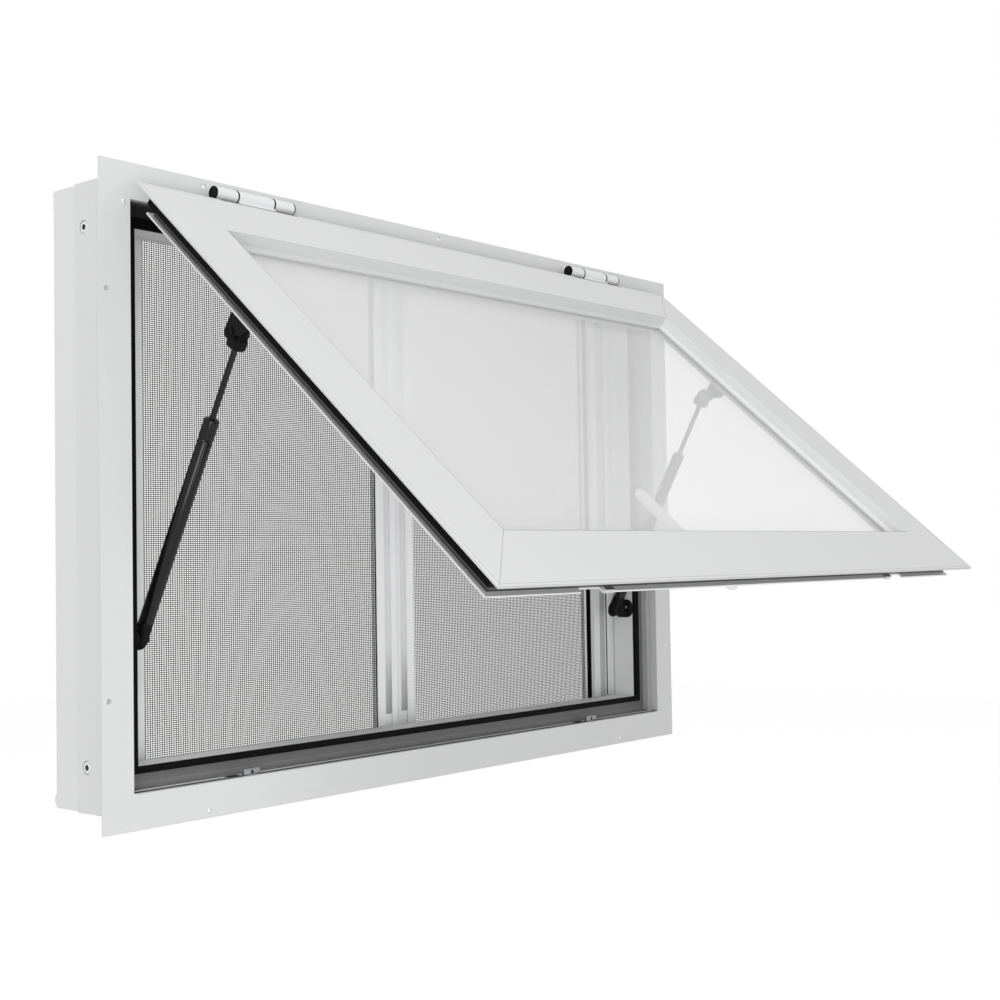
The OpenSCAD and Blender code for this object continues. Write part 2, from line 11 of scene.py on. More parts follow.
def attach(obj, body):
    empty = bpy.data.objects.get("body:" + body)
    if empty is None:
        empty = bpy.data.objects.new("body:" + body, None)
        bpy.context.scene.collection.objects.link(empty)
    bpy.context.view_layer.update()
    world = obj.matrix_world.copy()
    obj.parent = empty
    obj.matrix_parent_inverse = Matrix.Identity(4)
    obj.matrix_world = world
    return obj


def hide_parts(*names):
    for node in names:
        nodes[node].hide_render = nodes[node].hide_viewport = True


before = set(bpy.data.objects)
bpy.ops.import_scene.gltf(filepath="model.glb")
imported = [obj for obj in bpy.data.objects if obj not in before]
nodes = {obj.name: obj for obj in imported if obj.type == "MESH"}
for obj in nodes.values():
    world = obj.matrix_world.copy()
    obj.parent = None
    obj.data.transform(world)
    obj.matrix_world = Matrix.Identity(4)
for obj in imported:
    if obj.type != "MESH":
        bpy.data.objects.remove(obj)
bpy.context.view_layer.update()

# directions: right, inwards through the wall and up, then to the left and towards the customer
X, Y, Z = (1, 0, 0), (0, 1, 0), (0, 0, 1)
LEFT, FRONT = (-1, 0, 0), (0, -1, 0)
SIDES = (-1, 1)

# sizes in millimetres, as in the part's source; HW and HH are half widths and half heights
MID_Z = 312.5
FLANGE_Y = -2.0
OPEN_HW, OPEN_HH = 444.5, 284.5
STOP_HW, STOP_HH, STOP_Y = 423.0, 263.0, 23.0
SILL_Z = MID_Z - OPEN_HH
OPEN_ANGLE = math.radians(48.8)
AXIS_Y, AXIS_Z = -10.0, 618.5
SASH_HW, SASH_END, SASH_TOP, SASH_T = 448.0, 597.0, 13.0, 25.0
SASH_HH = (SASH_END - SASH_TOP) / 2
SASH_MID = (SASH_END + SASH_TOP) / 2
FACE_W = 67.0
STRUT_X, FOOT_Y, FOOT_Z = 404.0, 40.0, 172.5
STRUT_TILT = math.radians(28.116)
STRUT_L = 325.358
TOP_ALONG, TOP_DEPTH = 182.5, 51.6
BRACKET_X = STOP_HW - 5
HANDLE_Z = -550.0
KEEPER_X = 294.0
HINGE_X, HINGE_MID, HINGE_HALF, HINGE_GAP = 296.0, 24.0, 52.0, 1.0
HOLE_X, HOLE_Z, SIDE_HOLE_X, SIDE_HOLE_Z = 354, 312.5, 472.5, 195
PLUG_Y, PLUG_Z = 44.0, 261.0
LEFT_FIELD, LEFT_MESH_Y = (-378.7, -41.0), 70.75
RIGHT_FIELD, RIGHT_MESH_Y = (34.0, 389.7), 81.25
MESH_HH = 267.0
LEFT_GROOVE, RIGHT_GROOVE = (-28.0, -17.0), (10.0, 21.0)

# sizes that only the looks have
BARREL_R = 6.9
WIRE = 0.76
PITCH_X, PITCH_Z = 3.0, 2.1

# the light, and the photograph's view
WORLD_LIGHT = 0.47
CAMERA_PLACE = (-1.3398, -1.1998, 0.2487)
AZIMUTH, ELEVATION, ROLL = math.radians(-50.36), math.radians(-2.079), math.radians(-0.905)
LENS = 54.84


# shapes

def row_place(points):
    """The row frame itself."""
    return points


def sash_place(points):
    """x, depth behind the face and height over the hinge axis of the closed sash, turned to the open pose."""
    x, t, z = points[..., 0], points[..., 1], points[..., 2]
    c, s = math.cos(OPEN_ANGLE), math.sin(OPEN_ANGLE)
    return np.stack([x, AXIS_Y + t * c + z * s, AXIS_Z - t * s + z * c], -1)


def strut_place(points):
    """x, distance behind the strut's line and distance along it from the lower pivot, leaned by its tilt."""
    x, d, l = points[..., 0], points[..., 1], points[..., 2]
    c, s = math.cos(STRUT_TILT), math.sin(STRUT_TILT)
    return np.stack([x, FOOT_Y + d * c - l * s, FOOT_Z + d * s + l * c], -1)


def skin(points, wrap=False):
    """Quads over a grid of points[i, j], each between rows i, i + 1 and columns j, j + 1.

    Columns always go round. Rows go round with wrap, or the end rows are closed by a face each.
    """
    n, m = points.shape[:2]
    i = np.arange(n if wrap else n - 1)[:, None]
    j = np.arange(m)[None, :]
    up, on = (i + 1) % n, (j + 1) % m
    quads = np.stack([i * m + j, i * m + on, up * m + on, up * m + j], -1).reshape(-1, 4)
    ends = [] if wrap else [np.arange(m)[::-1].tolist(), (np.arange(m) + (n - 1) * m).tolist()]
    return points.reshape(-1, 3), quads.tolist() + ends


def oval(a, b, power, count):
    """Points round a superellipse: a * |cos|^power and b * |sin|^power, each with its sign.

    A power of 1 is an ellipse, and 0.3 a rectangle with round corners.
    """
    w = np.linspace(0, 2 * np.pi, count, endpoint=False)
    c, s = np.cos(w), np.sin(w)
    return np.stack([a * np.sign(c) * np.abs(c) ** power, b * np.sign(s) * np.abs(s) ** power], -1)


def loft(centres, across, beside, a, b, power=1.0, count=32):
    """A closed body of superellipse rings: ring i stands about centres[i], with half size a[i] along across
    and b[i] along beside."""
    centres, a, b = np.asarray(centres, float), np.asarray(a, float), np.asarray(b, float)
    ring = oval(1, 1, power, count)
    across, beside = np.asarray(across, float), np.asarray(beside, float)
    grid = (centres[:, None, :] + a[:, None, None] * ring[None, :, :1] * across
            + b[:, None, None] * ring[None, :, 1:] * beside)
    return skin(grid)


def turned(start, axis, across, beside, profile, count=32):
    """A lathe body: each pair of the profile is a distance from start along axis and a radius there."""
    profile = np.asarray(profile, float)
    centres = np.asarray(start, float) + profile[:, :1] * np.asarray(axis, float)
    return loft(centres, across, beside, profile[:, 1], profile[:, 1], 1.0, count)


def slab(outline, low, high, axis, across, beside, origin=(0, 0, 0)):
    """An outline of points measured along across and beside, carried along axis from low to high."""
    outline, axis = np.asarray(outline, float), np.asarray(axis, float)
    across, beside = np.asarray(across, float), np.asarray(beside, float)
    flat = np.asarray(origin, float) + outline[:, :1] * across + outline[:, 1:] * beside
    return skin(np.stack([flat + low * axis, flat + high * axis]))


def bead(a, b, side, out, width, height, count=7):
    """A half round strip: a half ellipse, width wide along side and height high along out, from a to b."""
    w = np.linspace(0, np.pi, count)
    a, b, side, out = (np.asarray(v, float) for v in (a, b, side, out))
    section = np.cos(w)[:, None] * side * width / 2 + np.sin(w)[:, None] * out * height
    return skin(np.stack([a + section, b + section]))


def loop(hw, hh, section, mid=0.0):
    """A mitred ring round a rectangle: each point of the section is an inset from the half sizes hw and hh
    and a depth, and its rectangle goes round at them."""
    section = np.asarray(section, float)
    sx, sz = np.array([-1, 1, 1, -1.0]), np.array([-1, -1, 1, 1.0])
    inset, depth = section[:, :1], section[:, 1:]
    x = sx * (hw - inset)
    z = mid + sz * (hh - inset)
    return skin(np.stack([x, depth + 0 * x, z], -1), wrap=True)


def wires(starts, run, radius, sides=6):
    """Straight wires: a regular polygon of the radius about each start, carried along run."""
    starts, run = np.asarray(starts, float), np.asarray(run, float)
    beside = np.cross(run / np.linalg.norm(run), Y)
    w = np.linspace(0, 2 * np.pi, sides, endpoint=False)
    ring = radius * (np.cos(w)[:, None] * beside + np.sin(w)[:, None] * np.array(Y, float))
    ends = starts[:, None, None, :] + np.array([0.0, 1.0])[None, :, None, None] * run
    grid = ends + ring[None, None, :, :]
    j = np.arange(sides)
    first = (np.arange(len(starts)) * 2 * sides)[:, None, None]
    quads = np.stack([j, (j + 1) % sides, (j + 1) % sides + sides, j + sides], -1)[None] + first
    caps = np.stack([j[::-1], j + sides])[None] + first
    return grid.reshape(-1, 3), quads.reshape(-1, 4).tolist() + caps.reshape(-1, sides).tolist()


def ring_line(centre, out, across, beside, radius, width, height, count=36):
    """A half round ring about a centre: a half ellipse, width wide across the radius and height high along out."""
    w = np.linspace(0, 2 * np.pi, count, endpoint=False)[:, None, None]
    s = np.linspace(0, np.pi, 6)[None, :, None]
    centre, out, across, beside = (np.asarray(v, float) for v in (centre, out, across, beside))
    reach = radius + np.cos(s) * width / 2
    return skin(centre + reach * (np.cos(w) * across + np.sin(w) * beside) + np.sin(s) * height * out, wrap=True)


def mirrored(part):
    """The same body on the other side of the window's middle: x changes sign."""
    points, faces = part
    return points * np.array([-1.0, 1, 1]), faces


def piece(name, parts, material, body, place=row_place, replaces=(), sharp=35):
    """One object from several bodies: points placed and in metres, normals turned outwards, and edges
    steeper than sharp degrees kept crisp."""
    points = np.concatenate([place(p[0]) for p in parts]) / 1000
    offsets = np.cumsum([0] + [len(p[0]) for p in parts[:-1]])
    faces = [[i + int(o) for i in f] for (_, fs), o in zip(parts, offsets) for f in fs]
    mesh = bpy.data.meshes.new(name)
    mesh.from_pydata(points.tolist(), [], faces)
    work = bmesh.new()
    work.from_mesh(mesh)
    bmesh.ops.recalc_face_normals(work, faces=work.faces)
    work.to_mesh(mesh)
    work.free()
    mesh.polygons.foreach_set("use_smooth", np.ones(len(mesh.polygons), bool))
    mesh.set_sharp_from_angle(angle=math.radians(sharp))
    mesh.materials.append(material)
    obj = bpy.data.objects.new(name, mesh)
    bpy.context.scene.collection.objects.link(obj)
    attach(obj, body)
    if replaces:
        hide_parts(*replaces)


# nodes of the materials

def add(tree, kind, values=None, **props):
    """A node with its properties set and its inputs set or linked."""
    made = tree.nodes.new(kind)
    for key, value in props.items():
        setattr(made, key, value)
    for key, value in (values or {}).items():
        if isinstance(value, bpy.types.NodeSocket):
            tree.links.new(value, made.inputs[key])
        else:
            made.inputs[key].default_value = value
    return made


def math_node(tree, operation, a, b=0.0, clamp=False):
    return add(tree, "ShaderNodeMath", {0: a, 1: b}, operation=operation, use_clamp=clamp).outputs[0]


def size_of(tree, value):
    return math_node(tree, "ABSOLUTE", value)


def both(tree, a, b):
    """1 where both masks are 1."""
    return math_node(tree, "MULTIPLY", a, b)


def above(tree, value, limit):
    """1 where a value in metres is over a limit in millimetres."""
    return math_node(tree, "GREATER_THAN", value, limit / 1000)


def below(tree, value, limit):
    """1 where a value in metres is under a limit in millimetres."""
    return math_node(tree, "LESS_THAN", value, limit / 1000)


def inside(tree, value, low, high):
    """1 where a value in metres lies between two limits in millimetres."""
    return both(tree, above(tree, value, low), below(tree, value, high))


def new_group(name, inputs, outputs):
    tree = bpy.data.node_groups.new(name, "ShaderNodeTree")
    for kind, sockets in (("INPUT", inputs), ("OUTPUT", outputs)):
        for label, socket_type, *default in sockets:
            made = tree.interface.new_socket(label, in_out=kind, socket_type=socket_type)
            if default:
                made.default_value = default[0]
    return tree, tree.nodes.new("NodeGroupInput"), tree.nodes.new("NodeGroupOutput")


FLOAT, COLOR, VECTOR = "NodeSocketFloat", "NodeSocketColor", "NodeSocketVector"


def zone_group(name):
    """A group that takes the paint's colour and gives the colour by place."""
    tree, ins, out = new_group(name, [("Paint", COLOR, (0.8, 0.8, 0.8, 1))], [("Color", COLOR)])
    return tree, ins.outputs["Paint"], out.inputs["Color"]


def grain_group():
    """Fine grain of a finish: a slow noise darkens the colour by up to Tone, and a quick one moves the
    roughness and the bump."""
    tree, ins, out = new_group("finish_grain", [
        ("Color", COLOR, (0.8, 0.8, 0.8, 1)), ("Tone", FLOAT, 0.04), ("Slow", FLOAT, 5.0), ("Quick", FLOAT, 900.0),
        ("Rough", FLOAT, 0.45), ("Spread", FLOAT, 0.08), ("Relief", FLOAT, 0.1), ("Stretch", VECTOR, (1, 1, 1))],
        [("Color", COLOR), ("Roughness", FLOAT), ("Normal", VECTOR)])
    given = ins.outputs
    where = add(tree, "ShaderNodeTexCoord").outputs["Object"]
    pulled = add(tree, "ShaderNodeVectorMath", {0: where, 1: given["Stretch"]}, operation="MULTIPLY").outputs[0]
    slow = add(tree, "ShaderNodeTexNoise", {"Vector": pulled, "Scale": given["Slow"], "Detail": 3.0}).outputs[0]
    quick = add(tree, "ShaderNodeTexNoise", {"Vector": pulled, "Scale": given["Quick"], "Detail": 2.0}).outputs[0]
    darker = math_node(tree, "SUBTRACT", 1.0, math_node(tree, "MULTIPLY", slow, given["Tone"]))
    shade = add(tree, "ShaderNodeCombineColor", {0: darker, 1: darker, 2: darker}).outputs[0]
    colour = add(tree, "ShaderNodeMix", {0: 1.0, 6: given["Color"], 7: shade},
                 data_type="RGBA", blend_type="MULTIPLY").outputs[2]
    move = math_node(tree, "MULTIPLY", math_node(tree, "SUBTRACT", quick, 0.5), given["Spread"])
    rough = math_node(tree, "ADD", given["Rough"], move, True)
    bump = add(tree, "ShaderNodeBump", {"Strength": given["Relief"], "Distance": 0.0004, "Height": quick}).outputs[0]
    for label, socket in (("Color", colour), ("Roughness", rough), ("Normal", bump)):
        tree.links.new(socket, out.inputs[label])
    return tree


def bands(tree, value, low, high, stops, blend=False):
    """Greys along a value in metres, from low to high in millimetres: each stop is a place and a grey, held
    up to the next stop or blended into it."""
    at = math_node(tree, "DIVIDE", math_node(tree, "SUBTRACT", value, low / 1000), (high - low) / 1000, True)
    made = add(tree, "ShaderNodeValToRGB", {0: at})
    ramp = made.color_ramp
    ramp.interpolation = "LINEAR" if blend else "CONSTANT"
    while len(ramp.elements) < len(stops):
        ramp.elements.new(1.0)
    for element, (place, grey) in zip(ramp.elements, stops):
        element.position = (place - low) / (high - low)
        element.color = (grey, grey * 1.005, grey * 1.02, 1)
    return made.outputs[0]


def over(tree, mask, under, on_top):
    """The colour on_top where the mask is 1, else the colour under."""
    return add(tree, "ShaderNodeMix", {0: mask, 6: under, 7: on_top}, data_type="RGBA").outputs[2]


def place_parts(tree):
    """x, y and z of the place on the part, and its height over the window's middle."""
    where = add(tree, "ShaderNodeTexCoord").outputs["Object"]
    x, y, z = add(tree, "ShaderNodeSeparateXYZ", {0: where}).outputs
    return x, y, z, math_node(tree, "SUBTRACT", z, MID_Z / 1000)


def rebate_shade_group():
    """Colour of the frame: paint, and painted shade in the rebate, in bands by depth on the sill's floor, the head's
    ceiling and the side walls, with a painted highlight band on the floor and a painted reflection band on the
    ceiling, and a stop face painted dark as shade, paler low down."""
    tree, paint, out = zone_group("rebate_painted_shade")
    x, y, _, up = place_parts(tree)
    far = size_of(tree, x)
    within = both(tree, below(tree, far, OPEN_HW + 0.9), below(tree, size_of(tree, up), OPEN_HH + 0.9))
    walls = both(tree, within, inside(tree, y, -1.2, STOP_Y - 0.2))
    face = both(tree, within, inside(tree, y, STOP_Y - 0.3, STOP_Y + 0.4))
    side = both(tree, walls, above(tree, far, OPEN_HW - 0.7))
    floor = both(tree, walls, below(tree, up, 0.7 - OPEN_HH))
    ceiling = both(tree, walls, above(tree, up, OPEN_HH - 0.7))
    by_depth = (tree, y, FLANGE_Y, STOP_Y)
    # painted shade in the rebate: dark bands on the side walls, floor and ceiling, a painted highlight band on the
    # floor and a painted reflection band on the ceiling
    colour = over(tree, side, paint, bands(*by_depth, [(-2, 0.6), (8.5, 0.48), (10.3, 0.58), (14.5, 0.4)]))
    colour = over(tree, floor, colour, bands(*by_depth, [(-2, 0.12), (3, 0.05), (7.8, 0.95), (14.6, 0.2)]))
    colour = over(tree, ceiling, colour, bands(*by_depth, [(-2, 0.6), (6.5, 0.05), (10.5, 0.2), (12.5, 0.04)]))
    # painted shade on the stop face: dark, paler low down
    shade_by_height = bands(tree, up, -285, 285, [(-285, 0.22), (-280.5, 0.08), (-279.5, 0.165), (258, 0.03)])
    tree.links.new(over(tree, face, colour, shade_by_height), out)
    return tree


def channel_shade_group():
    """Colour of the sash: paint, and painted shade with painted reflection streaks by depth in the channel round
    its outer edge.
    """
    tree, paint, out = zone_group("channel_painted_shade")
    c, s = math.cos(OPEN_ANGLE), math.sin(OPEN_ANGLE)
    ay, az = AXIS_Y / 1000, AXIS_Z / 1000
    on_closed_sash = add(tree, "ShaderNodeMapping", {
        "Vector": add(tree, "ShaderNodeTexCoord").outputs["Object"], "Rotation": (OPEN_ANGLE, 0, 0),
        "Location": (0, -(ay * c - az * s), -(ay * s + az * c))}).outputs[0]
    x, t, z = add(tree, "ShaderNodeSeparateXYZ", {0: on_closed_sash}).outputs
    height = math_node(tree, "ADD", z, SASH_MID / 1000)
    from_side = math_node(tree, "SUBTRACT", SASH_HW / 1000, size_of(tree, x))
    from_end = math_node(tree, "SUBTRACT", SASH_HH / 1000, size_of(tree, height))
    inset = math_node(tree, "MINIMUM", from_side, from_end)
    across = math_node(tree, "MULTIPLY", t, 60.0)
    along = math_node(tree, "MULTIPLY", math_node(tree, "ADD", x, z), 0.6)
    drawn = add(tree, "ShaderNodeCombineXYZ", {0: across, 1: along}).outputs[0]
    # painted reflection streaks and painted shade on the channel wall
    reflection_streaks = add(tree, "ShaderNodeTexNoise", {"Vector": drawn, "Scale": 9.0, "Detail": 2.0}).outputs[0]
    shift = math_node(tree, "MULTIPLY", math_node(tree, "SUBTRACT", reflection_streaks, 0.5), 0.003)
    shade_bands = bands(tree, math_node(tree, "ADD", t, shift), 3, 23,
                 [(3, 0.012), (14.2, 0.06), (18.5, 0.11), (20.6, 0.05), (21.8, 0.085)])
    mask = both(tree, inside(tree, t, 3.3, 22.9), below(tree, inset, 19.5))
    tree.links.new(over(tree, mask, paint, shade_bands), out)
    return tree


def groove_shade_group():
    """Colour of the screens' frames: white, and in the middle stiles' grooves a painted shade grey that deepens
    low down.
    """
    tree, paint, out = zone_group("groove_painted_shade")
    x, y, z, up = place_parts(tree)
    left = both(tree, inside(tree, x, LEFT_GROOVE[0] - 0.05, LEFT_GROOVE[1] + 0.05), inside(tree, y, 68.3, 72.4))
    right = both(tree, inside(tree, x, RIGHT_GROOVE[0] - 0.05, RIGHT_GROOVE[1] + 0.05), inside(tree, y, 78.8, 82.9))
    tall = below(tree, size_of(tree, up), MESH_HH - 0.05)
    mask = both(tree, math_node(tree, "MAXIMUM", left, right), tall)
    # painted shade in the grooves, darker low down
    shade_by_height = bands(tree, z, 40, 200, [(45, 0.42), (90, 0.55), (140, 0.8)], blend=True)
    tree.links.new(over(tree, mask, paint, shade_by_height), out)
    return tree


def filler_shade_group():
    """Colour of the strip beside the right screen: paint with a darker band of painted shade along its middle,
    in place of a groove's shade.
    """
    tree, paint, out = zone_group("filler_groove_shade")
    x, y, _, _ = place_parts(tree)
    # painted shade: a darker band in place of a groove
    mask = both(tree, inside(tree, x, 406.5, 418.5), inside(tree, y, 67.5, 68.4))
    tree.links.new(over(tree, mask, paint, (0.46, 0.462, 0.466, 1)), out)
    return tree


GRAIN = grain_group()
REBATE_SHADE = rebate_shade_group()
CHANNEL_SHADE = channel_shade_group()
GROOVE_SHADE = groove_shade_group()
FILLER_SHADE = filler_shade_group()


# finishes

def start_material(name):
    made = bpy.data.materials.new(name)
    made.use_nodes = True
    return made, made.node_tree, made.node_tree.nodes["Principled BSDF"]


def grain(tree, shader, colour, tone=0.03, slow=5.0, quick=900.0, rough=0.45, spread=0.06, relief=0.08,
          stretch=(1, 1, 1)):
    """Places the grain group and links it to the shader."""
    color = colour if isinstance(colour, bpy.types.NodeSocket) else (*colour, 1)
    g = add(tree, "ShaderNodeGroup", node_tree=GRAIN)
    values = {"Color": color, "Tone": tone, "Slow": slow, "Quick": quick, "Rough": rough, "Spread": spread,
              "Relief": relief, "Stretch": stretch}
    for key, value in values.items():
        if isinstance(value, bpy.types.NodeSocket):
            tree.links.new(value, g.inputs[key])
        else:
            g.inputs[key].default_value = value
    for given, taken in (("Color", "Base Color"), ("Roughness", "Roughness"), ("Normal", "Normal")):
        tree.links.new(g.outputs[given], shader.inputs[taken])


def plain_finish(name, colour, metallic=0.0, specular=0.5, **kind):
    made, tree, shader = start_material(name)
    shader.inputs["Metallic"].default_value = metallic
    shader.inputs["Specular IOR Level"].default_value = specular
    grain(tree, shader, colour, **kind)
    return made


def zoned_finish(name, paint, zones, specular=0.4, **kind):
    """Paint whose colour goes through a group that changes it by place."""
    made, tree, shader = start_material(name)
    shader.inputs["Specular IOR Level"].default_value = specular
    z = add(tree, "ShaderNodeGroup", node_tree=zones)
    z.inputs["Paint"].default_value = (*paint, 1)
    grain(tree, shader, z.outputs["Color"], **kind)
    return made


def glass_finish():
    """A pane with a painted reflection, a near-white veil: part of each face shows, the rest is clear."""
    made, tree, shader = start_material("sash_pane")
    shader.inputs["Alpha"].default_value = 0.46
    shader.inputs["IOR"].default_value = 1.5
    grain(tree, shader, (0.99, 0.992, 0.992), tone=0.008, slow=3.0, quick=40.0, rough=0.04, spread=0.03, relief=0.0)
    made.surface_render_method = "BLENDED"
    return made


FRAME_COAT = zoned_finish("frame_coat", (0.755, 0.758, 0.763), REBATE_SHADE, rough=0.42)
SASH_COAT = zoned_finish("sash_coat", (0.765, 0.768, 0.772), CHANNEL_SHADE, rough=0.4)
REAR_COAT = plain_finish("rear_coat", (0.79, 0.793, 0.797), rough=0.42)
FILLER_COAT = zoned_finish("filler_coat", (0.8, 0.803, 0.807), FILLER_SHADE, rough=0.42)
SCREEN_COAT = zoned_finish("screen_coat", (0.96, 0.962, 0.965), GROOVE_SHADE, rough=0.36)
WIRE_FINISH = plain_finish("screen_wire", (0.03, 0.03, 0.031), specular=0.2, rough=0.5, tone=0.1, slow=30.0,
                           relief=0.0)
RUBBER = plain_finish("black_rubber", (0.005, 0.005, 0.0054), specular=0.05, rough=0.55, tone=0.2, slow=12.0,
                      quick=1500.0, relief=0.15)
STEEL = plain_finish("bright_steel", (0.6, 0.6, 0.61), metallic=1.0, rough=0.28, tone=0.08, quick=600.0,
                     stretch=(0.2, 1, 1))
KEEPER_STEEL = plain_finish("keeper_steel", (0.34, 0.343, 0.348), metallic=0.7, rough=0.4, tone=0.1, quick=700.0)
HINGE_COAT = plain_finish("hinge_coat", (0.84, 0.845, 0.85), rough=0.34)
BLACK_PLASTIC = plain_finish("black_plastic", (0.007, 0.007, 0.0075), specular=0.09, rough=0.42, tone=0.2,
                             slow=20.0, quick=1200.0, relief=0.12)
BLACK_METAL = plain_finish("black_tube_paint", (0.004, 0.004, 0.0045), specular=0.28, rough=0.13, tone=0.1,
                           relief=0.03)
ROD_STEEL = plain_finish("rod_steel", (0.003, 0.003, 0.0033), specular=0.3, rough=0.12, tone=0.1, quick=1500.0,
                         stretch=(1, 1, 0.2))
WHITE_PLASTIC = plain_finish("white_plastic", (0.9, 0.9, 0.895), rough=0.35, relief=0.05)
# painted shadow: dark lines and spots for shadow gaps, holes and slots
SHADOW_DARK = plain_finish("seam_shadow", (0.03, 0.03, 0.031), specular=0.2, rough=0.7, relief=0.0)
# grey for seams, and painted shade at the flange's holes and in the screws' cross cuts
SEAM_AND_SHADE_GREY = plain_finish("seam_and_shade_grey", (0.4, 0.4, 0.405), specular=0.2, rough=0.6, relief=0.0)
# painted shade: the sash's edge in a darker grey than its paint
EDGE_SHADE_COAT = plain_finish("sash_edge_painted_shade", (0.66, 0.663, 0.667), rough=0.4)
# bright white for the grooves' end caps, and a painted highlight on the jamb's edge and the sash's rim
BRIGHT_TRIM_AND_HIGHLIGHT = plain_finish("bright_trim_and_highlight", (0.9, 0.905, 0.91), metallic=0.1, rough=0.3)
GLAZING_FINISH = plain_finish("glazing_seal_grey", (0.62, 0.622, 0.625), specular=0.3, rough=0.5, tone=0.05,
                              relief=0.05)
PANE = glass_finish()

for finish, members in (
        (FRAME_COAT, ["frame_head", "frame_sill", "frame_jamb_left", "frame_jamb_right"]),
        (REAR_COAT, ["track_head", "track_sill", "track_jamb_left"]),
        (FILLER_COAT, ["track_jamb_right"]),
        (SCREEN_COAT, ["screen_frame_left", "screen_frame_right"]),
        (WIRE_FINISH, ["screen_mesh_left", "screen_mesh_right"]),
        (RUBBER, ["frame_gasket", "sash_gasket"]),
        (GLAZING_FINISH, ["glazing_seal"]),
        (STEEL, ["side_screws", "keepers", "latch_tongues"]),
        (HINGE_COAT, ["hinge_leaf_left", "hinge_leaf_right", "hinge_knuckle_left", "hinge_knuckle_right"]),
        (BLACK_PLASTIC, ["hinge_pin_left", "hinge_pin_right", "hinge_washers", "strut_foot_left",
                         "strut_foot_right", "sash_bracket_left", "sash_bracket_right", "strut_socket_left",
                         "strut_socket_right", "strut_end_left", "strut_end_right"]),
        (BLACK_METAL, ["strut_cylinder_left", "strut_cylinder_right"]),
        (ROD_STEEL, ["strut_rod_left", "strut_rod_right"]),
        (SASH_COAT, ["sash_top_rail", "sash_bottom_rail", "sash_stile_left", "sash_stile_right"]),
        (PANE, ["sash_glass"]),
        (WHITE_PLASTIC, ["pull_handle"])):
    for member in members:
        obj = nodes[member]
        if not obj.material_slots:
            obj.data.materials.append(finish)
        for s in obj.material_slots:
            s.material = finish


# insect screens

def screen_wires(name, field, y, node):
    """Upright wires, and level wires 0.8 of a wire behind them, over the field between stiles and rails."""
    x0, x1 = field
    xs = np.linspace(x0, x1, int(round((x1 - x0) / PITCH_X)) + 1)[1:-1]
    zs = np.linspace(-MESH_HH, MESH_HH, int(round(2 * MESH_HH / PITCH_Z)) + 1)[1:-1] + MID_Z
    upright = wires(np.stack([xs, 0 * xs + y, 0 * xs + MID_Z - MESH_HH], -1), (0, 0, 2 * MESH_HH), WIRE / 2)
    level = wires(np.stack([0 * zs + x0, 0 * zs + y + WIRE * 0.8, zs], -1), (x1 - x0, 0, 0), WIRE / 2)
    piece(name, [upright, level], WIRE_FINISH, "window_frame", replaces=[node], sharp=80)


def post(x0, x1, y0, y1, z0, z1):
    """An upright bar with small round corners: a superellipse over its plan, carried from z0 to z1."""
    mid = [((x0 + x1) / 2, (y0 + y1) / 2, z) for z in (z0, z1)]
    return loft(mid, X, Y, [(x1 - x0) / 2] * 2, [(y1 - y0) / 2] * 2, 0.3, 20)


screen_wires("insect_mesh_left", LEFT_FIELD, LEFT_MESH_Y, "screen_mesh_left")
screen_wires("insect_mesh_right", RIGHT_FIELD, RIGHT_MESH_Y, "screen_mesh_right")

# black beads that hold the meshes, the last one a black strip along the side of the right screen's strip
low_z, high_z = MID_Z - MESH_HH, MID_Z + MESH_HH
piece("mesh_beads", [
    post(-41.8, -40.9, 69.0, 70.4, low_z, high_z),
    post(-378.9, -378.1, 68.4, 70.3, low_z, high_z),
    post(389.6, 393.3, 78.1, 78.7, low_z, high_z),
    post(392.4, 393.1, 73.6, 78.3, low_z - 4, high_z + 4),
], RUBBER, "window_frame")

# painted shadow in the joint of the right strip and the jamb, a painted highlight on the jamb's edge, the
# blocks at the grooves' feet and the seam round the stop's inner wall
stop_low, stop_high = MID_Z - STOP_HH + 0.2, MID_Z + STOP_HH - 0.2
piece("right_strip_gap_shadow", [post(420.9, 423.05, 67.7, 68.2, stop_low, stop_high)], SHADOW_DARK, "window_frame")
piece("jamb_painted_highlight", [post(422.8, 423.05, 65.0, 66.8, stop_low, stop_high)], BRIGHT_TRIM_AND_HIGHLIGHT, "window_frame")
piece("stile_groove_ends", [
    post(LEFT_GROOVE[0] + 0.05, LEFT_GROOVE[1] - 0.05, 68.3, 71.9, low_z + 0.1, low_z + 16.5),
    post(RIGHT_GROOVE[0] + 0.05, RIGHT_GROOVE[1] - 0.05, 78.8, 82.4, low_z + 0.1, low_z + 16.5),
], BRIGHT_TRIM_AND_HIGHLIGHT, "window_frame")
stop_line = [(0.1 * math.sin(w), 55.6 + 0.7 * math.cos(w)) for w in np.linspace(0, math.pi, 7)]
piece("stop_wall_seam", [loop(STOP_HW, STOP_HH, stop_line, MID_Z)], SEAM_AND_SHADE_GREY, "window_frame")


# gas struts, modelled on the right and mirrored for the left

def sided(side):
    """The side's word, and the change that carries a body to it."""
    return ("left", mirrored) if side < 0 else ("right", lambda part: part)


def on_strut(ls, a, b, power):
    """A fitting on the strut's line: superellipse rings of half sizes a and b at the distances ls."""
    ls = np.asarray(ls, float)
    return loft(np.stack([0 * ls + STRUT_X, 0 * ls, ls], -1), X, Y, a, b, power, 36)


def pivot_cap(pivot):
    """A round cap on a head's inner side and a small rivet in it."""
    disc = turned((STRUT_X - 6.2, 0, pivot), LEFT, Y, Z, [(0, 5.8), (0.6, 5.8), (1.0, 5.3), (1.0, 3.0), (0.6, 2.6)], 32)
    rivet = turned((STRUT_X - 6.3, 0, pivot), LEFT, Y, Z, [(0, 2.0), (0.7, 2.0), (1.1, 1.5), (1.2, 0.5)], 24)
    return disc, rivet


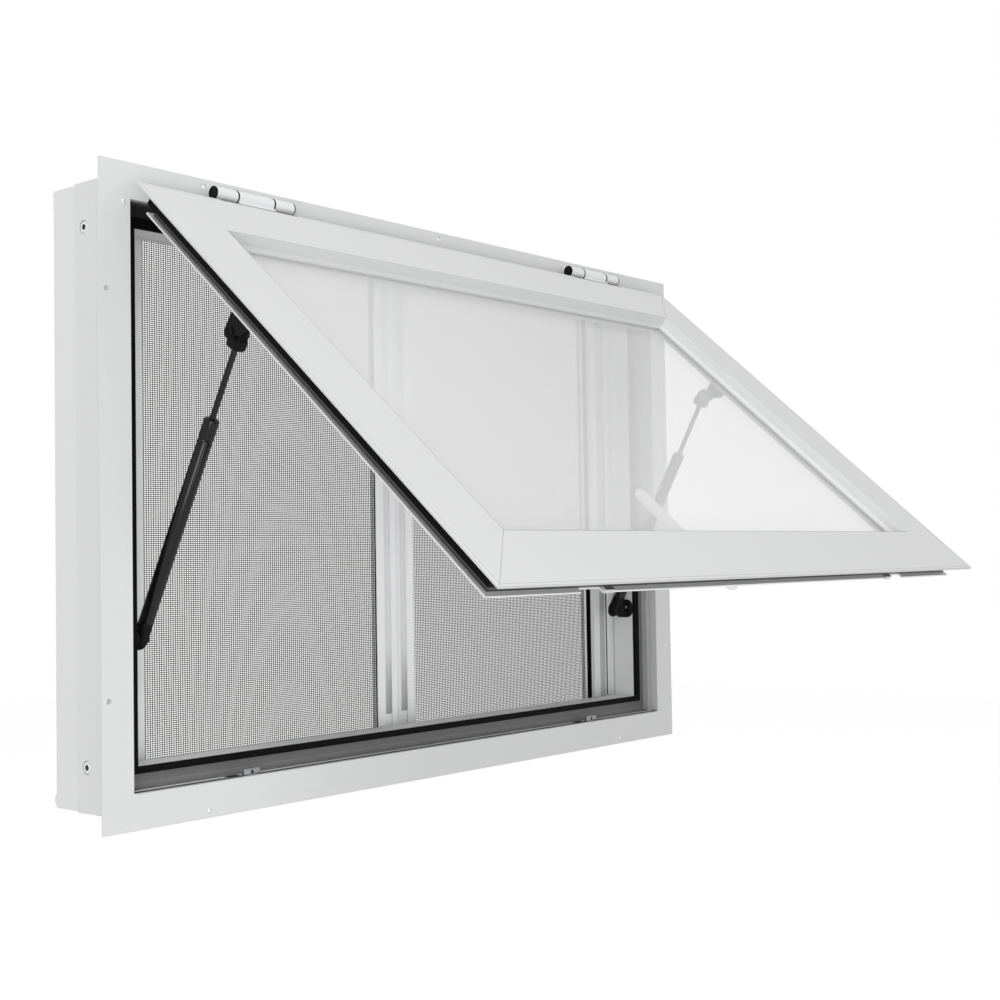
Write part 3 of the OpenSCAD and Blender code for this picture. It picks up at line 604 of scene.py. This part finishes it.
def strut_line(side):
    """Tube, rod and the heads at both ends, turned or lofted along the strut's line."""
    word, flip = sided(side)
    cylinder, bar = word + "_cylinder", word + "_rod"
    base = (STRUT_X, 0, 0)
    tube = turned(base, Z, X, Y, [
        (17, 4.2), (17, 6.6), (18.2, 7.3), (20.5, 7.5), (214.5, 7.5), (215, 7.2), (215.9, 7.2), (216.4, 7.6),
        (216.9, 7.2), (217.8, 7.2), (218.3, 7.7), (235.5, 7.7), (237, 7.3), (237.8, 6.3), (237.8, 3.2)], 40)
    piece("strut_tube_" + word, [flip(tube)], BLACK_METAL, cylinder, strut_place,
          ["strut_cylinder_" + word])
    rod = turned(base, Z, X, Y, [(232, 2.9), (232, 3.0), (STRUT_L - 13, 3.0), (STRUT_L - 13, 2.9)], 28)
    piece("strut_rod_bar_" + word, [flip(rod)], ROD_STEEL, bar, strut_place, ["strut_rod_" + word])

    socket = on_strut([19.5, 19.0, 12, 4, -3, -7, -10, -12, -12.8], [6.4, 6.7, 6.8, 6.8, 6.6, 6.0, 4.9, 3.0, 1.2],
                      [6.9, 7.2, 7.5, 8.0, 7.8, 7.0, 5.5, 3.3, 1.2], 0.75)
    disc, rivet = pivot_cap(0.0)
    piece("strut_socket_head_" + word, [flip(socket), flip(disc)], BLACK_PLASTIC, cylinder,
          strut_place, ["strut_socket_" + word])
    piece("strut_socket_rivet_" + word, [flip(rivet)], BLACK_PLASTIC, cylinder, strut_place)

    block = on_strut([STRUT_L + l for l in (-16.5, -16, -14.8, -10.5, -6, -4.5, 0, 4, 6.5, 7.4)],
                     [3.6, 5.4, 6.6, 6.9, 6.8, 6.5, 6.4, 5.6, 3.6, 1.0],
                     [4.0, 6.6, 8.6, 9.6, 9.4, 8.0, 7.4, 6.0, 3.8, 1.0], 0.5)
    disc, rivet = pivot_cap(STRUT_L)
    piece("strut_end_head_" + word, [flip(block), flip(disc)], BLACK_PLASTIC, bar, strut_place,
          ["strut_end_" + word])
    piece("strut_end_rivet_" + word, [flip(rivet)], STEEL, bar, strut_place)


def strut_foot(side):
    """Bracket on the jamb: a low round-cornered plate, a round boss at its front with a rivet, and a tapered
    block under the stud."""
    word, flip = sided(side)
    plate = loft([(STOP_HW - d, 37.5, FOOT_Z - 1) for d in (0, 2.0, 2.6)], Y, Z, [14.5, 14.5, 13.7],
                 [12.5, 12.5, 11.7], 0.6, 44)
    block = loft([(STOP_HW - 2.4, 41, FOOT_Z), (STOP_HW - 7, 40.6, FOOT_Z), (STOP_HW - 11.6, FOOT_Y, FOOT_Z)],
                 Y, Z, [9.5, 7.6, 5.2], [13.5, 10.5, 6.2], 0.7, 40)
    boss = turned((STOP_HW - 2.4, 30.5, FOOT_Z + 1), LEFT, Y, Z,
                  [(0, 7.6), (1.8, 7.5), (3.0, 6.6), (3.2, 5.0), (2.6, 3.4)], 36)
    stud = turned((STOP_HW - 2.4, FOOT_Y, FOOT_Z), LEFT, Y, Z, [(0, 4.0), (16, 4.0), (16.6, 3.4)], 24)
    piece("strut_foot_plate_" + word, [flip(plate), flip(block), flip(boss), flip(stud)], BLACK_PLASTIC,
          "window_frame", row_place, ["strut_foot_" + word])
    head = turned((STOP_HW - 4.8, 30.5, FOOT_Z + 1), LEFT, Y, Z, [(0, 2.4), (0.9, 2.3), (1.6, 1.7), (1.8, 0.5)], 24)
    piece("strut_foot_rivet_" + word, [flip(head)], STEEL, "window_frame")


def sash_bracket(side):
    """Bracket on the sash: a flat foot, and a leaning ear with a ring about the stud."""
    word, flip = sided(side)
    foot = loft([(BRACKET_X - 16, t, -TOP_ALONG) for t in (SASH_T, 26.9, 27.5)], X, Z, [16, 16, 15.3],
                [21, 21, 20.3], 0.3, 40)
    w = np.radians(np.linspace(20, 195, 25))
    arc = np.stack([7.0 * np.cos(w), TOP_DEPTH + 6.6 * np.sin(w)], -1)
    outline = np.concatenate([[[9, 27], [8.6, 38]], arc, [[-13, 47], [-17, 40], [-18, 27]]])
    ear = slab(outline, BRACKET_X - 2.6, BRACKET_X, X, Z, Y, (0, 0, -TOP_ALONG))
    ring = turned((BRACKET_X - 0.2, TOP_DEPTH - 1, -TOP_ALONG - 1), X, Y, Z,
                  [(0, 5.2), (1.2, 5.0), (1.7, 4.5), (1.7, 3.1), (0.7, 2.8)], 32)
    pin = turned((BRACKET_X - 2.5, TOP_DEPTH, -TOP_ALONG), LEFT, Y, Z, [(0, 4.0), (5.0, 4.0)], 24)
    piece("sash_bracket_plate_" + word, [flip(foot), flip(ear), flip(ring), flip(pin)], BLACK_PLASTIC, "awning",
          sash_place, ["sash_bracket_" + word])


for side in SIDES:
    strut_line(side)
    strut_foot(side)
    sash_bracket(side)


# hinges

def barrel(x0, x1, y, z):
    """One knuckle: a lathe body from x0 to x1 with eased ends, closed down to the pin."""
    length = x1 - x0
    return turned((x0, y, z), X, Y, Z, [(0, 3.1), (0, BARREL_R - 0.5), (0.5, BARREL_R), (length - 0.5, BARREL_R),
                                        (length, BARREL_R - 0.5), (length, 3.1)], 44)


def hinge(side):
    """The frame's leaf with the outer two knuckles, the sash's leaf with the middle one, and the pin with a
    black cap at each end. Gives the two rings between the knuckles."""
    word, _ = sided(side)
    mid = side * HINGE_X
    axis = (AXIS_Y, AXIS_Z)
    leaf = [loft([(mid, y, AXIS_Z) for y in (FLANGE_Y, -2.5, -2.9)], X, Z, [HINGE_HALF, HINGE_HALF, HINGE_HALF - 0.4],
                 [7.4, 7.4, 7.0], 0.12, 48)]
    for x0, x1 in ((mid - HINGE_HALF, mid - HINGE_MID - HINGE_GAP), (mid + HINGE_MID + HINGE_GAP, mid + HINGE_HALF)):
        leaf.append(barrel(x0, x1, *axis))
        leaf.append(loft([((x0 + x1) / 2, y, AXIS_Z) for y in (-6.0, -2.2)], X, Z, [13.3] * 2, [3.0] * 2, 0.15, 24))
    piece("hinge_leaf_body_" + word, leaf, HINGE_COAT, "window_frame", row_place,
          ["hinge_leaf_" + word])
    tab = loft([(mid, t, -8.9) for t in (0.0, 3.0)], X, Z, [HINGE_MID - 0.1] * 2, [4.1] * 2, 0.12, 40)
    piece("hinge_knuckle_body_" + word, [barrel(mid - HINGE_MID, mid + HINGE_MID, 0.0, 0.0), tab], HINGE_COAT,
          "awning", sash_place, ["hinge_knuckle_" + word])
    black = [turned((mid - HINGE_HALF, *axis), X, Y, Z, [(0, 3.0), (2 * HINGE_HALF, 3.0)], 24)]
    cap = [(-0.1, BARREL_R - 0.1), (1.0, BARREL_R - 0.1), (1.4, BARREL_R - 0.5), (1.4, 1.5), (1.2, 0.6)]
    black += [turned((mid + end * HINGE_HALF, *axis), (end, 0, 0), Y, Z, cap, 40) for end in SIDES]
    piece("hinge_pin_caps_" + word, black, BLACK_PLASTIC, "window_frame", row_place,
          ["hinge_pin_" + word])
    ring = [(0, BARREL_R - 0.3), (0.2, BARREL_R + 0.22), (1.9, BARREL_R + 0.22), (2.1, BARREL_R - 0.3)]
    return [turned((mid + end * (HINGE_MID + HINGE_GAP / 2) - 1.05, *axis), X, Y, Z, ring, 44) for end in SIDES]


piece("hinge_rings", hinge(-1) + hinge(1), BLACK_PLASTIC, "window_frame", row_place,
      ["hinge_washers"])
# painted shadow: a dark line on the sash's top edge under each hinge barrel
piece("hinge_shadow_lines", [
    bead((side * HINGE_X - HINGE_HALF, 0.0, -13.5), (side * HINGE_X + HINGE_HALF, 0.0, -13.5), Z, FRONT, 1.1, 0.08)
    for side in SIDES], SHADOW_DARK, "awning", sash_place)


# the sash's handle, seams and trims, with painted shade on the sash's edge and a painted highlight on its rim

def handle_parts():
    """A round-cornered base, a waisted post and a bar whose rings shrink towards both ends."""
    base = loft([(0, t, HANDLE_Z) for t in (SASH_T, 27.2, 28.2)], X, Z, [17, 17, 15.6], [14, 14, 12.6], 0.45, 48)
    t = np.linspace(27.5, 49, 9)
    waist = 6.2 + 2.6 * ((t - 38) / 11) ** 2
    stem = loft(np.stack([0 * t, t, 0 * t + HANDLE_Z], -1), X, Z, waist, waist, 0.9, 32)
    u = np.linspace(-1, 1, 41)
    half = 79
    z = HANDLE_Z + 69 + half * u
    past = np.clip((np.abs(u) * half - 71) / 8, 0, 0.985)
    round_end = np.sqrt(np.clip(1 - past ** 2, 0, 1))
    bar = loft(np.stack([0 * z, 51 + 0 * z, z], -1), X, Y, 8 * round_end, 5 * (0.35 + 0.65 * round_end), 0.75, 36)
    return [base, stem, bar]


def sash_loop(inset, t, width, height):
    """A half round line round the sash: a half ellipse about the inset that stands out of the depth t."""
    w = np.linspace(0, np.pi, 7)
    section = np.stack([inset + np.cos(w) * width / 2, t - np.sin(w) * height], -1)
    return loop(SASH_HW, SASH_HH, section, -SASH_MID)


def mitre_line(sx, sz):
    """A line at 45 degrees on the face, from one corner to the glass opening."""
    a = (sx * (SASH_HW - 0.3), 0.03, -SASH_MID + sz * (SASH_HH - 0.3))
    b = (sx * (SASH_HW - FACE_W), 0.03, -SASH_MID + sz * (SASH_HH - FACE_W))
    return bead(a, b, np.array([sx, 0, -sz]) / math.sqrt(2), FRONT, 0.6, 0.06)


piece("pull_handle_bar", handle_parts(), WHITE_PLASTIC, "awning", sash_place, ["pull_handle"])
piece("sash_seams", [mitre_line(-1, -1), mitre_line(1, 1), sash_loop(2.6, 0.02, 0.4, 0.05),
                     sash_loop(FACE_W - 0.3, 0.02, 0.6, 0.06)], SEAM_AND_SHADE_GREY, "awning", sash_place)
# painted shade: the edge trim round the sash, darker than its paint
edge = [(0.02, 0.6), (-0.25, 0.9), (-0.25, 2.4), (0.02, 2.8), (0.4, 2.8), (0.4, 0.6)]
piece("sash_edge_trim", [loop(SASH_HW, SASH_HH, edge, -SASH_MID)], EDGE_SHADE_COAT, "awning", sash_place)
lip_z = 2.2 - SASH_END
piece("sash_lip_seal", [bead((-445.5, 3.0, lip_z), (446.5, 3.0, lip_z), Z, Y, 1.8, 1.9)], RUBBER, "awning",
      sash_place)
# painted highlight: a strip brighter than the paint on the rim's face along the bottom rail
rim_z = -583.55
piece("sash_rim_highlight", [
    bead((x0, 24.0, rim_z), (x1, 24.0, rim_z), Y, (0, 0, -1), 1.9, 0.3)
    for x0, x1 in ((-434.3, -310.0), (-278.0, 278.0), (310.0, 434.3))], BRIGHT_TRIM_AND_HIGHLIGHT, "awning",
    sash_place)


# keepers, screws, painted shade at the hole edges, and plugs

def keeper_parts(mid):
    """An angle with a flat foot and an upright plate, each a superellipse slab, and a three-sided hole drawn
    as painted shade on both sides of the plate."""
    plate = loft([(mid, y, SILL_Z + 3.3) for y in (2.5, 2.7, 4.3, 4.5)], X, Z, [10.2, 10.5, 10.5, 10.2],
                 [3.0, 3.25, 3.25, 3.0], 0.12, 40)
    foot = loft([(mid, 4.75, z + SILL_Z) for z in (0.02, 1.6, 2.0)], X, Y, [10.5, 10.5, 10.1], [2.25, 2.25, 1.9],
                0.12, 40)
    cut = [(-2.7, -2.0), (2.7, -2.0), (0.0, 2.6)]
    cut_shades = [slab(cut, low, low + 0.12, Y, X, Z, (mid, 0, SILL_Z + 3.4)) for low in (2.42, 4.46)]
    return [plate, foot], cut_shades


def screw_heads(centres, out, across, beside, radius):
    """Pan heads with a cross cut: a low dome of rings, and two thin bars across it, painted shade in the cut."""
    heads, cut_shades = [], []
    dome = [(0, radius), (0.35 * radius, radius * 0.96), (0.55 * radius, radius * 0.75), (0.62 * radius, radius * 0.2)]
    for c in centres:
        heads.append(turned(c, out, across, beside, dome, 28))
        top = np.asarray(c, float) + np.asarray(out, float) * 0.56 * radius
        for a, b in ((across, beside), (beside, across)):
            a = np.asarray(a, float) * radius * 0.55
            cut_shades.append(bead(top - a, top + a, b, out, radius * 0.28, radius * 0.1))
    return heads, cut_shades


left_keeper, right_keeper = keeper_parts(-KEEPER_X), keeper_parts(KEEPER_X)
piece("keeper_angles", left_keeper[0] + right_keeper[0], KEEPER_STEEL, "window_frame", row_place,
      ["keepers"])
# painted shade: dark triangles for the keepers' holes
piece("keeper_hole_shades", left_keeper[1] + right_keeper[1], SHADOW_DARK, "window_frame")
# painted shade: a dark flat slot on the sill beside each keeper
piece("keeper_slot_shades", [
    slab(oval(8.5, 4.0, 0.3, 24), 0, 0.12, Z, X, Y, (side * KEEPER_X - 19.5, 11.0, SILL_Z)) for side in SIDES],
    SHADOW_DARK, "window_frame")
seam_z = SILL_Z - 0.5
piece("sill_front_seam", [bead((-442, -2.02, seam_z), (438, -2.02, seam_z), Z, FRONT, 0.6, 0.1)], SEAM_AND_SHADE_GREY,
      "window_frame")

corner_heads, corner_cut_shades = screw_heads([(side * 452.0, FLANGE_Y, MID_Z + 281.0) for side in SIDES], FRONT, X, Z, 2.4)
piece("corner_screws", corner_heads, HINGE_COAT, "window_frame")
# painted shade in the screws' cross cuts
piece("corner_screw_cut_shades", corner_cut_shades, SEAM_AND_SHADE_GREY, "window_frame")

# painted shade: dark lines round the flange's holes on the left half, where the photograph shows them, for the shaded
# hole walls
holes = [(-HOLE_X, MID_Z + HOLE_Z), (0, MID_Z + HOLE_Z), (-HOLE_X, MID_Z - HOLE_Z),
         (-SIDE_HOLE_X, MID_Z - SIDE_HOLE_Z), (-SIDE_HOLE_X, MID_Z + SIDE_HOLE_Z)]
piece("hole_edge_shades", [ring_line((x, FLANGE_Y, z), FRONT, X, Z, 2.62, 0.3, 0.06) for x, z in holes], SEAM_AND_SHADE_GREY,
      "window_frame")

# the screws in the jambs' sides: a stepped plug each, with painted shade as a dark middle and a dark line round it
plugs, plug_shades = [], []
plug = [(0, 6.4), (1.2, 6.4), (1.5, 6.1), (1.5, 5.5), (1.0, 5.0), (1.0, 3.9), (1.9, 3.6), (1.9, 2.6)]
for side in SIDES:
    for z in (MID_Z - PLUG_Z, MID_Z + PLUG_Z):
        out, front = (side, 0, 0), (side * 464.6, PLUG_Y, z)
        plugs.append(turned((side * 463.0, PLUG_Y, z), out, Y, Z, plug, 40))
        plug_shades.append(turned(front, out, Y, Z, [(0, 2.9), (0.35, 2.8), (0.38, 0.5)], 32))
        plug_shades.append(ring_line(front, out, Y, Z, 6.25, 0.5, 0.1))
piece("side_plugs", plugs, HINGE_COAT, "window_frame", row_place, ["side_screws"])
piece("side_plug_shades", plug_shades, SHADOW_DARK, "window_frame")


# stage, light and camera

def seen_directly(tree):
    """1 for rays that come from the camera, a mirror or a pane."""
    path = add(tree, "ShaderNodeLightPath").outputs
    seen = math_node(tree, "MAXIMUM", path["Is Camera Ray"], path["Is Glossy Ray"])
    return math_node(tree, "MAXIMUM", seen, path["Is Transmission Ray"])


def build_stage():
    """A wide pale floor under the window, nearly white where it is looked at and clear from below."""
    floor_mesh = bpy.data.meshes.new("floor")
    floor_mesh.from_pydata([(-9, -9, -0.8), (9, -9, -0.8), (9, 9, -0.8), (-9, 9, -0.8)], [], [(0, 1, 2, 3)])
    floor = bpy.data.objects.new("floor", floor_mesh)
    bpy.context.scene.collection.objects.link(floor)
    made = bpy.data.materials.new("pale_floor")
    made.use_nodes = True
    tree = made.node_tree
    tree.nodes.clear()
    matt = add(tree, "ShaderNodeBsdfDiffuse", {"Color": (0.86, 0.86, 0.86, 1)})
    soft = add(tree, "ShaderNodeBsdfDiffuse", {"Color": (0.4, 0.4, 0.4, 1)})
    glow = add(tree, "ShaderNodeEmission", {"Color": (1, 1, 1, 1), "Strength": 0.8})
    shown = add(tree, "ShaderNodeAddShader", {0: soft.outputs[0], 1: glow.outputs[0]})
    mix = add(tree, "ShaderNodeMixShader", {0: seen_directly(tree), 1: matt.outputs[0], 2: shown.outputs[0]})
    clear = add(tree, "ShaderNodeBsdfTransparent")
    behind = add(tree, "ShaderNodeNewGeometry").outputs["Backfacing"]
    sided_mix = add(tree, "ShaderNodeMixShader", {0: behind, 1: mix.outputs[0], 2: clear.outputs[0]})
    add(tree, "ShaderNodeOutputMaterial", {"Surface": sided_mix.outputs[0]})
    floor_mesh.materials.append(made)


def build_world():
    """Even white light, and plain white where it is looked at."""
    world = bpy.data.worlds.new("studio")
    bpy.context.scene.world = world
    world.use_nodes = True
    tree = world.node_tree
    tree.nodes.clear()
    even = add(tree, "ShaderNodeBackground", {"Color": (1, 1, 1, 1), "Strength": WORLD_LIGHT})
    white = add(tree, "ShaderNodeBackground", {"Color": (1, 1, 1, 1), "Strength": 1.0})
    mix = add(tree, "ShaderNodeMixShader", {0: seen_directly(tree), 1: even.outputs[0], 2: white.outputs[0]})
    add(tree, "ShaderNodeOutputWorld", {"Surface": mix.outputs[0]})


def soft_light(name, place, target, size, power):
    lamp = bpy.data.lights.new(name, "AREA")
    lamp.shape, lamp.size, lamp.energy = "DISK", size, power
    obj = bpy.data.objects.new(name, lamp)
    bpy.context.scene.collection.objects.link(obj)
    obj.location = place
    obj.rotation_mode = "QUATERNION"
    obj.rotation_quaternion = (Vector(target) - Vector(place)).to_track_quat("-Z", "Y")


def build_camera():
    """The photograph's view: the camera looks along its azimuth and elevation and is then rolled."""
    back = Vector((math.sin(AZIMUTH) * math.cos(ELEVATION), -math.cos(AZIMUTH) * math.cos(ELEVATION),
                   math.sin(ELEVATION)))
    level = Vector((math.cos(AZIMUTH), math.sin(AZIMUTH), 0))
    upright = back.cross(level)
    right = math.cos(ROLL) * level + math.sin(ROLL) * upright
    up = -math.sin(ROLL) * level + math.cos(ROLL) * upright
    data = bpy.data.cameras.new("camera")
    data.lens, data.sensor_width, data.clip_start, data.clip_end = LENS, 36.0, 0.05, 60.0
    cam = bpy.data.objects.new("camera", data)
    bpy.context.scene.collection.objects.link(cam)
    cam.matrix_world = Matrix.Translation(Vector(CAMERA_PLACE)) @ Matrix((right, up, back)).transposed().to_4x4()
    bpy.context.scene.camera = cam


build_stage()
build_world()
soft_light("low_left", (-2.4, -1.9, -0.1), (0, 0, 0.3), 1.3, 20.5)
soft_light("top_left", (-2.2, -1.8, 3.0), (0, -0.2, 0.4), 1.8, 56.0)
soft_light("low_front", (-1.0, -2.6, -0.35), (0, 0, 0.3), 1.0, 5.0)
soft_light("small_front", (0.9, -2.7, 0.0), (0, 0, 0.3), 0.35, 2.0)
build_camera()
bpy.context.scene.view_settings.view_transform = "Standard"
